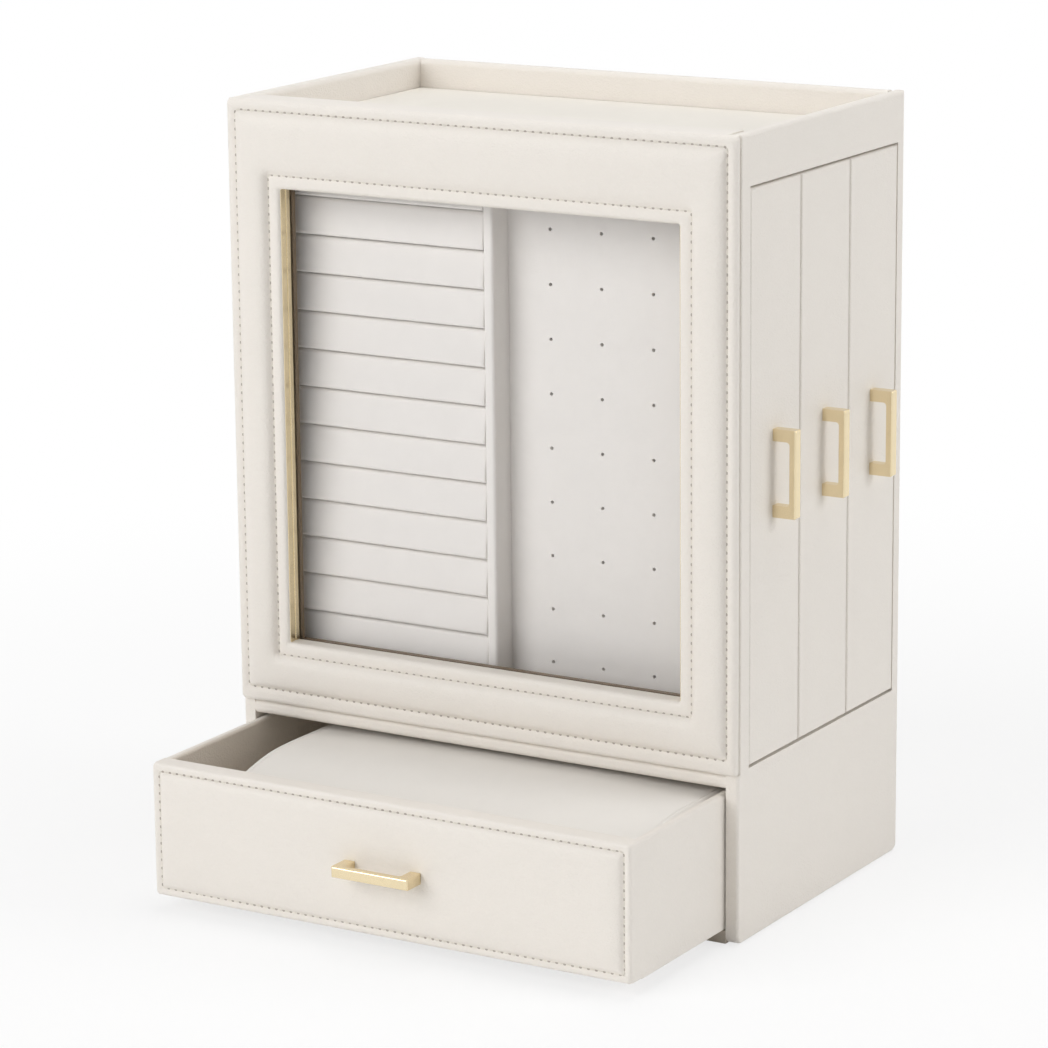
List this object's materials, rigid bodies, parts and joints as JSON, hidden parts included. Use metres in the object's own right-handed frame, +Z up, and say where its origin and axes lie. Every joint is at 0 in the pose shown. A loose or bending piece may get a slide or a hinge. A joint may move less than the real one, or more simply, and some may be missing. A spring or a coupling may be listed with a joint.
{
  "type": "leather jewelry box",
  "caption": "Leather-wrapped jewelry box with an open top tray, a padded window front, upright side drawers and a wide bottom drawer.",
  "frame": {"origin": "middle of the base, on the surface that the box stands on", "axes": "+Z up, the window faces -Y, the upright drawers pull out along +X"},
  "size_m": [0.2608, 0.2434, 0.344],
  "materials": {
    "cream_leather": "satin",
    "velvet": "matte",
    "drawer_velvet_board": "matte",
    "wrapped_board": "matte",
    "gold_metal": "polished",
    "screw_steel": "satin",
    "window_glass": "gloss",
    "dark_retainer": "matte",
    "base_felt": "matte"
  },
  "bodies": {
    "root": {"base_felt": "base_felt", "base_board": "wrapped_board", "left_side_panel": "cream_leather", "right_side_panel": "cream_leather", "back_panel": "cream_leather", "shelf_board": "wrapped_board", "front_rail": "cream_leather", "tray_floor": "cream_leather", "tray_front_wall": "cream_leather", "tray_lining": "velvet", "window_panel_core": "wrapped_board", "window_panel_cover": "cream_leather", "window_trim": "gold_metal", "window_glass": "window_glass", "glass_retainer": "dark_retainer", "bay_partitions": "wrapped_board", "drawer_guides": "wrapped_board"},
    "side_drawer_1": {"side_drawer_1_front": "cream_leather", "side_drawer_1_frame": "drawer_velvet_board", "side_drawer_1_back_board": "drawer_velvet_board", "side_drawer_1_handle": "gold_metal", "side_drawer_1_handle_screws": "screw_steel", "side_drawer_1_ring_rolls": "velvet", "side_drawer_1_roll_backing": "wrapped_board", "side_drawer_1_divider": "velvet", "side_drawer_1_earring_board": "velvet"},
    "side_drawer_2": {"side_drawer_2_front": "cream_leather", "side_drawer_2_frame": "drawer_velvet_board", "side_drawer_2_back_board": "drawer_velvet_board", "side_drawer_2_handle": "gold_metal", "side_drawer_2_handle_screws": "screw_steel", "side_drawer_2_hook_rail": "velvet", "side_drawer_2_necklace_hooks": "gold_metal", "side_drawer_2_pocket": "velvet"},
    "side_drawer_3": {"side_drawer_3_front": "cream_leather", "side_drawer_3_frame": "drawer_velvet_board", "side_drawer_3_back_board": "drawer_velvet_board", "side_drawer_3_handle": "gold_metal", "side_drawer_3_handle_screws": "screw_steel", "side_drawer_3_hook_rail": "velvet", "side_drawer_3_necklace_hooks": "gold_metal", "side_drawer_3_pocket": "velvet"},
    "bottom_drawer": {"bottom_drawer_front_core": "wrapped_board", "bottom_drawer_front_cover": "cream_leather", "bottom_drawer_left_wall": "cream_leather", "bottom_drawer_right_wall": "cream_leather", "bottom_drawer_back_wall": "cream_leather", "bottom_drawer_floor": "wrapped_board", "bottom_drawer_bin_lining": "velvet", "bottom_drawer_bin_divider": "velvet", "watch_cushion": "velvet", "bottom_drawer_handle": "gold_metal", "bottom_drawer_handle_screws": "screw_steel"}
  },
  "joints": [
    {"name": "bottom_drawer_slide", "type": "slide", "parent": "root", "child": "bottom_drawer", "axis": [0, -1, 0], "range_m": [-0.0797, 0.035]},
    {"name": "side_drawer_1_slide", "type": "slide", "parent": "root", "child": "side_drawer_1", "axis": [1, 0, 0], "range_m": [0, 0.17]},
    {"name": "side_drawer_2_slide", "type": "slide", "parent": "root", "child": "side_drawer_2", "axis": [1, 0, 0], "range_m": [0, 0.17]},
    {"name": "side_drawer_3_slide", "type": "slide", "parent": "root", "child": "side_drawer_3", "axis": [1, 0, 0], "range_m": [0, 0.17]}
  ]
}
